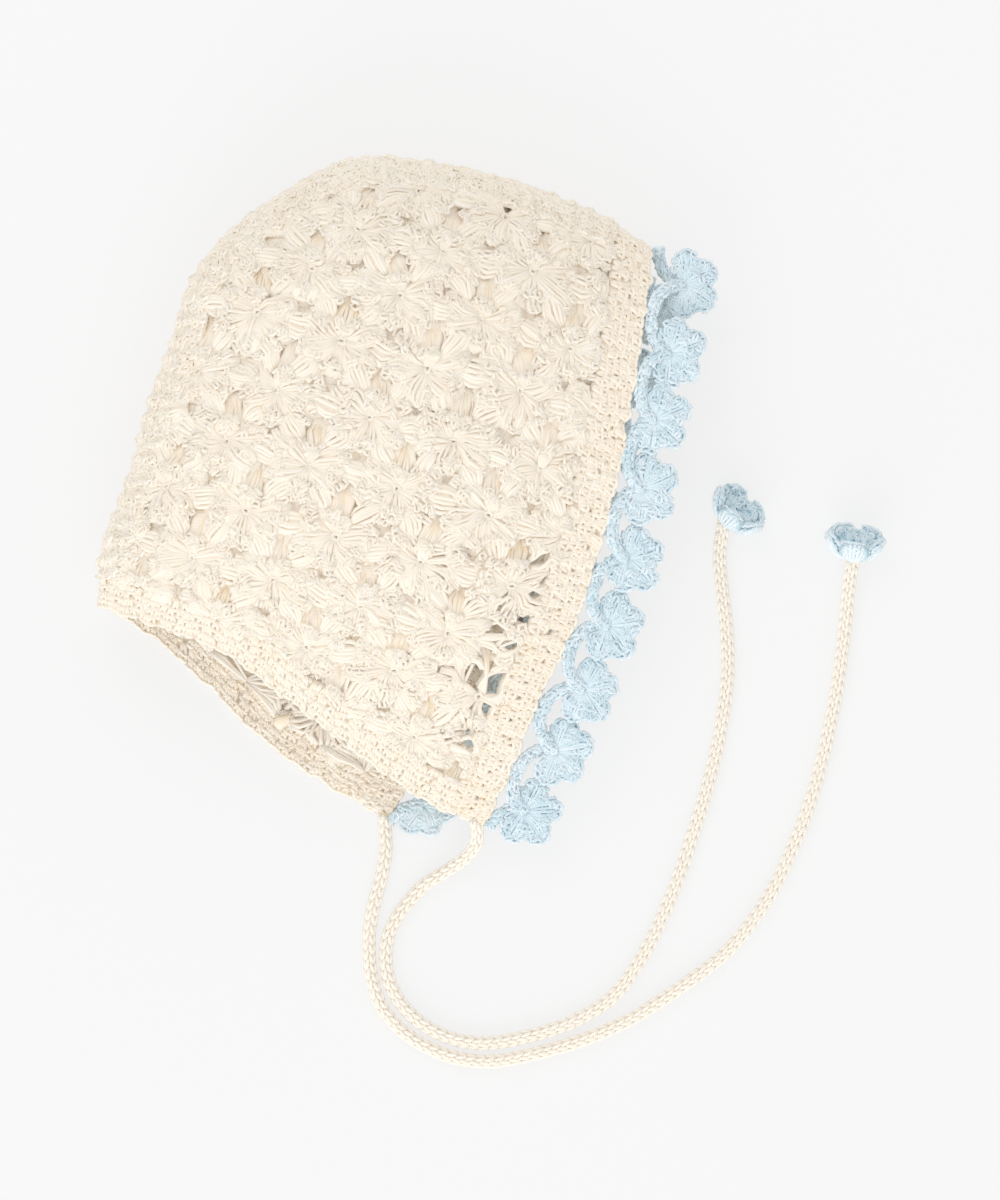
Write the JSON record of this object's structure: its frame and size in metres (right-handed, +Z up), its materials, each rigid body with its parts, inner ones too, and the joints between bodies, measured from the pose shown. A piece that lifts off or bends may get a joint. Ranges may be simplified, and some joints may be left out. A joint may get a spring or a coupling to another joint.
{
  "type": "crocheted bonnet",
  "caption": "Crocheted cotton bonnet lying on its side: puff-stitch flower fabric, plain bands, a blue flower trim round the face opening and long braided ties.",
  "frame": {"origin": "on the flat underside of the side that the bonnet lies on, in the middle of that side", "axes": "+X towards the face opening, +Y towards the crown, +Z up from the surface that the bonnet lies on"},
  "size_m": [0.3376, 0.3855, 0.0746],
  "materials": {
    "cream_cotton": "matt",
    "blue_cotton": "matt"
  },
  "bodies": {
    "root": {"crown_body": "cream_cotton", "front_band": "cream_cotton", "neck_band": "cream_cotton", "near_tie": "cream_cotton", "far_tie": "cream_cotton", "near_trim_flower_1": "blue_cotton", "near_trim_flower_2": "blue_cotton", "near_trim_flower_3": "blue_cotton", "near_trim_flower_4": "blue_cotton", "near_trim_flower_5": "blue_cotton", "near_trim_flower_6": "blue_cotton", "near_trim_flower_7": "blue_cotton", "near_trim_flower_8": "blue_cotton", "near_trim_flower_9": "blue_cotton", "far_trim_flower_1": "blue_cotton", "far_trim_flower_2": "blue_cotton", "far_trim_flower_3": "blue_cotton", "far_trim_flower_4": "blue_cotton", "far_trim_flower_5": "blue_cotton", "far_trim_flower_6": "blue_cotton", "far_trim_flower_7": "blue_cotton", "far_trim_flower_8": "blue_cotton", "far_trim_flower_9": "blue_cotton", "near_tie_flower": "blue_cotton", "far_tie_flower": "blue_cotton"}
  },
  "joints": []
}
